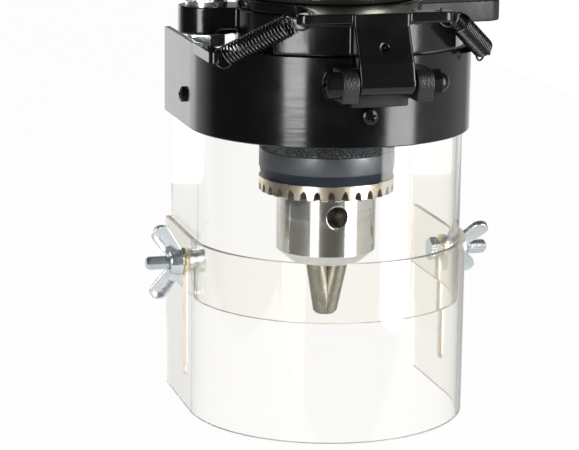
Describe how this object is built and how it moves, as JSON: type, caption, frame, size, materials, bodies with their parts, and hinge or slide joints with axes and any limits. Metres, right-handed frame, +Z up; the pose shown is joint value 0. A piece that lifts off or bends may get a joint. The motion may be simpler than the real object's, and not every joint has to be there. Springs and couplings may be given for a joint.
{
  "type": "drill press spindle with chuck guard",
  "caption": "Drill press quill and spindle with a keyed three-jaw chuck inside a hinged, spring-closed clear guard whose lower shield slides for height.",
  "frame": {"origin": "spindle axis at the upper face of the quill flange", "axes": "+Z up the spindle axis, -Y the guard's front, +X to the right seen from the front"},
  "size_m": [0.1441, 0.1179, 0.3117],
  "materials": {
    "turned_steel": "turned",
    "bearing_steel": "ground",
    "brass_cage": "satin",
    "black_casting": "gloss black paint",
    "black_plastic": "satin to gloss",
    "clear_plastic": "clear polycarbonate",
    "zinc_plate": "bright zinc plate",
    "black_steel": "black oxide",
    "black_oxide": "black oxide, knurled",
    "gear_steel": "hardened steel"
  },
  "bodies": {
    "quill": {"quill_sleeve": "turned_steel", "lower_bearing_outer": "bearing_steel", "upper_bearing_outer": "bearing_steel", "bearing_cover": "turned_steel", "quill_collar": "black_casting", "pinch_screw": "black_steel", "depth_rod": "zinc_plate", "depth_rod_nuts": "zinc_plate", "depth_rod_washer": "zinc_plate", "guard_bracket": "black_casting", "bracket_screws": "black_steel", "spring_left": "black_steel", "spring_right": "black_steel"},
    "spindle": {"spindle": "turned_steel", "spindle_lock_nut": "turned_steel", "lower_bearing_inner": "bearing_steel", "upper_bearing_inner": "bearing_steel", "chuck_body": "turned_steel"},
    "lower_balls": {"lower_bearing_balls": "bearing_steel", "lower_bearing_cage": "brass_cage"},
    "upper_balls": {"upper_bearing_balls": "bearing_steel", "upper_bearing_cage": "brass_cage"},
    "sleeve": {"chuck_sleeve": "black_oxide", "chuck_gear_ring": "gear_steel", "chuck_nut": "turned_steel"},
    "jaw_1": {"jaw_1": "turned_steel"},
    "jaw_2": {"jaw_2": "turned_steel"},
    "jaw_3": {"jaw_3": "turned_steel"},
    "guard": {"guard_ring": "black_plastic", "hinge_clevis": "black_casting", "clevis_screws": "black_steel", "hinge_screw": "black_steel", "hinge_bush": "black_steel", "hinge_dome_nut": "black_steel", "ring_screws": "black_steel", "ring_screw_nuts": "zinc_plate", "upper_shield": "clear_plastic", "clamp_bolts": "zinc_plate", "clamp_washers": "zinc_plate"},
    "lower_shield": {"lower_shield": "clear_plastic"},
    "wing_nut_left": {"wing_nut_left": "zinc_plate"},
    "wing_nut_right": {"wing_nut_right": "zinc_plate"}
  },
  "joints": [
    {"name": "spindle_spin", "type": "hinge", "parent": "quill", "child": "spindle", "pos_m": [0, 0, 0], "axis": [0, 0, 1], "continuous": true},
    {"name": "lower_balls_orbit", "type": "hinge", "parent": "quill", "child": "lower_balls", "pos_m": [0, 0, 0], "axis": [0, 0, 1], "continuous": true},
    {"name": "upper_balls_orbit", "type": "hinge", "parent": "quill", "child": "upper_balls", "pos_m": [0, 0, 0], "axis": [0, 0, 1], "continuous": true},
    {"name": "sleeve_turn", "type": "hinge", "parent": "spindle", "child": "sleeve", "pos_m": [0, 0, -0.08], "axis": [0, 0, -1], "range_deg": [0, 3890.4]},
    {"name": "jaw_1_slide", "type": "slide", "parent": "spindle", "child": "jaw_1", "axis": [0.1744, -0.1132, 0.9781], "range_m": [0, 0.02702]},
    {"name": "jaw_2_slide", "type": "slide", "parent": "spindle", "child": "jaw_2", "axis": [0.0109, 0.2076, 0.9781], "range_m": [0, 0.02702]},
    {"name": "jaw_3_slide", "type": "slide", "parent": "spindle", "child": "jaw_3", "axis": [-0.1853, -0.0944, 0.9781], "range_m": [0, 0.02702]},
    {"name": "guard_hinge", "type": "hinge", "parent": "quill", "child": "guard", "pos_m": [0.0032, -0.0628, -0.0338], "axis": [-1, 0, 0], "range_deg": [0, 100], "stiffness_Nm_per_rad": 0.2, "springref_deg": -51.57, "deforming": ["spring_left", "spring_right"]},
    {"name": "lower_shield_slide", "type": "slide", "parent": "guard", "child": "lower_shield", "axis": [0, 0, 1], "range_m": [0, 0.043]},
    {"name": "wing_nut_left_turn", "type": "hinge", "parent": "guard", "child": "wing_nut_left", "pos_m": [-0.056, 0.0095, -0.1132], "axis": [-1, 0, 0], "range_deg": [0, 180]},
    {"name": "wing_nut_right_turn", "type": "hinge", "parent": "guard", "child": "wing_nut_right", "pos_m": [0.056, 0.0095, -0.1132], "axis": [1, 0, 0], "range_deg": [0, 180]}
  ],
  "couplings": [
    {"joint": "lower_balls_orbit", "follows": "spindle_spin", "ratio": 0.3971},
    {"joint": "upper_balls_orbit", "follows": "spindle_spin", "ratio": 0.3996},
    {"joint": "jaw_1_slide", "follows": "sleeve_turn", "m_per_rad": 0.00039789},
    {"joint": "jaw_2_slide", "follows": "sleeve_turn", "m_per_rad": 0.00039789},
    {"joint": "jaw_3_slide", "follows": "sleeve_turn", "m_per_rad": 0.00039789}
  ]
}
